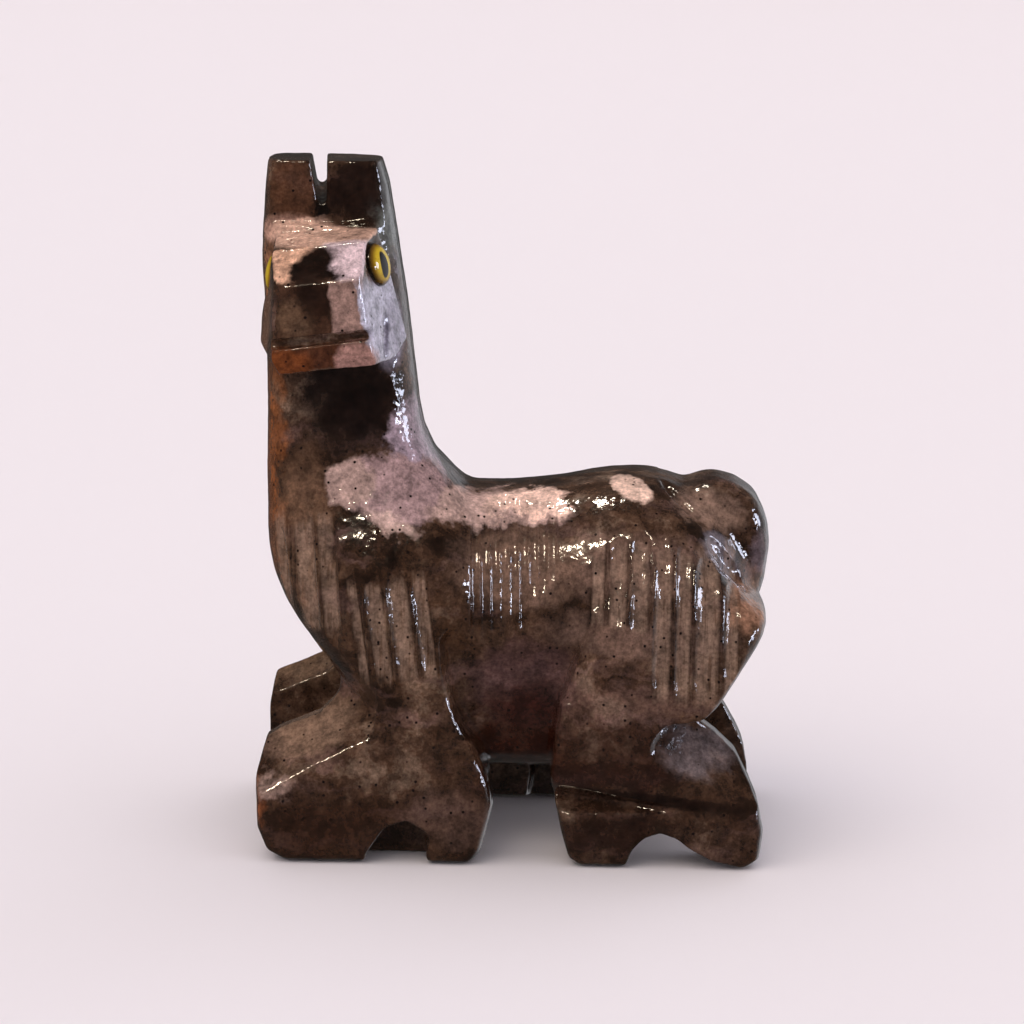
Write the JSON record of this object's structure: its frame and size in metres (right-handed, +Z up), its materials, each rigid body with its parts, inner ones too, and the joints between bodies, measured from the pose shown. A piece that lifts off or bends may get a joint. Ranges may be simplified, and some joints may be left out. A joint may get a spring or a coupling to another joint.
{
  "type": "stone llama carving",
  "caption": "Small polished stone carving of a kneeling llama, head turned to its left, with file-cut fleece and inlaid round glass eyes.",
  "frame": {"origin": "middle of the footprint, on the surface that the figure stands on", "axes": "+Z up, -X the way the chest faces, -Y the animal's left side, which its face is turned to"},
  "size_m": [0.0372, 0.022, 0.0496],
  "materials": {
    "stone": "hand-filed and polished, banded brown and lilac",
    "eye_glass": "domed, glossy, painted from behind"
  },
  "bodies": {
    "root": {"llama_stone": "stone", "eye_left": "eye_glass", "eye_right": "eye_glass"}
  },
  "joints": []
}
